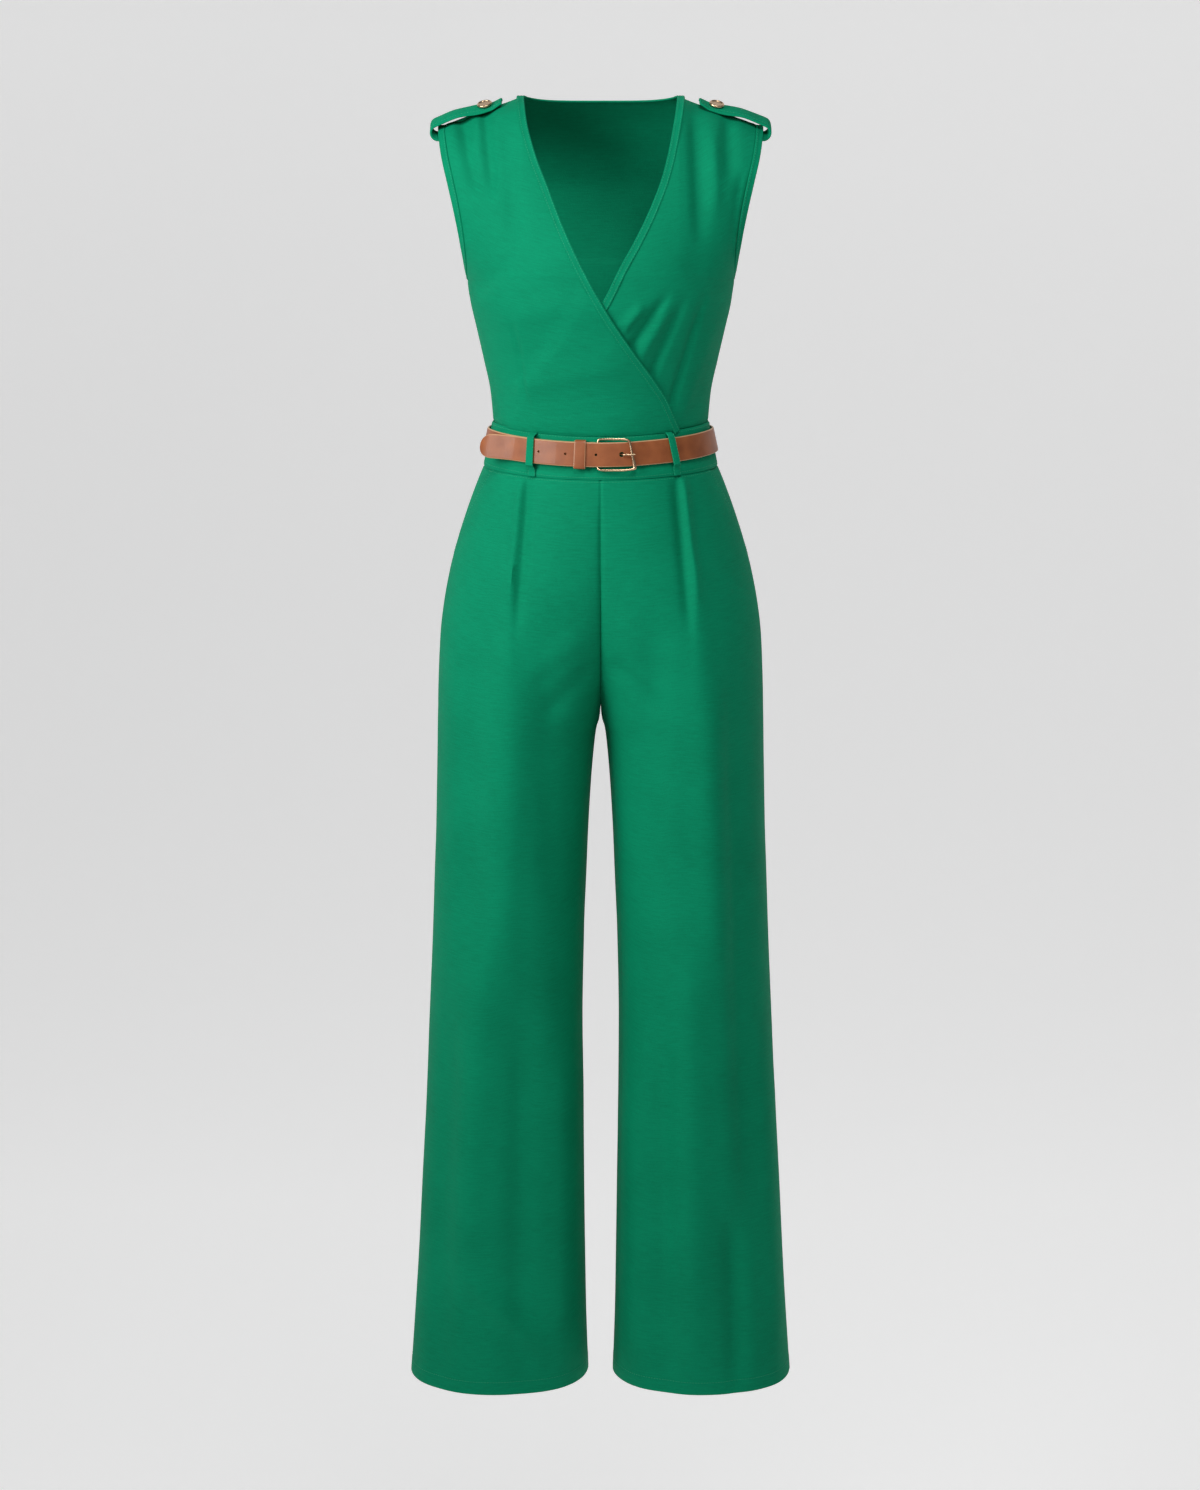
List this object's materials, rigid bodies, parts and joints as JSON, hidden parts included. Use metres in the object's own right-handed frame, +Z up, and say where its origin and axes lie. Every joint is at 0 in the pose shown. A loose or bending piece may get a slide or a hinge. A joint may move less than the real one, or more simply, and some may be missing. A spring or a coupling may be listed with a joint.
{
  "type": "jumpsuit",
  "caption": "Sleeveless wide-leg jumpsuit in green crepe with a crossed V front, shoulder tabs and a buckled leather belt, filled out and hollow as worn.",
  "frame": {"origin": "midway between the middles of the two shoulder seams, where the wearer's shoulders carry the garment", "axes": "+X towards the wearer's left, +Z up along the height, -Y the front, +Y the back"},
  "size_m": [0.4466, 0.2678, 1.4723],
  "materials": {
    "crepe_cloth": "matte crepe weave",
    "belt_leather": "smooth tan leather",
    "pale_metal": "polished pale gold"
  },
  "bodies": {
    "root": {"bodice_back": "crepe_cloth", "bodice_front_right": "crepe_cloth", "bodice_front_left": "crepe_cloth", "neck_binding_right": "crepe_cloth", "neck_binding_left": "crepe_cloth", "neck_binding_back": "crepe_cloth", "armhole_binding_right": "crepe_cloth", "epaulette_right": "crepe_cloth", "trouser_front_right": "crepe_cloth", "trouser_back_right": "crepe_cloth", "pocket_facing_right": "crepe_cloth", "belt_loop_front_right": "crepe_cloth", "belt_loop_back_right": "crepe_cloth", "armhole_binding_left": "crepe_cloth", "epaulette_left": "crepe_cloth", "trouser_front_left": "crepe_cloth", "trouser_back_left": "crepe_cloth", "pocket_facing_left": "crepe_cloth", "belt_loop_front_left": "crepe_cloth", "belt_loop_back_left": "crepe_cloth", "waistband_front": "crepe_cloth", "waistband_back": "crepe_cloth", "belt_strap": "belt_leather", "belt_keeper": "belt_leather", "epaulette_button_right": "pale_metal", "epaulette_button_left": "pale_metal", "buckle_frame": "pale_metal", "buckle_prong": "pale_metal"}
  },
  "joints": []
}
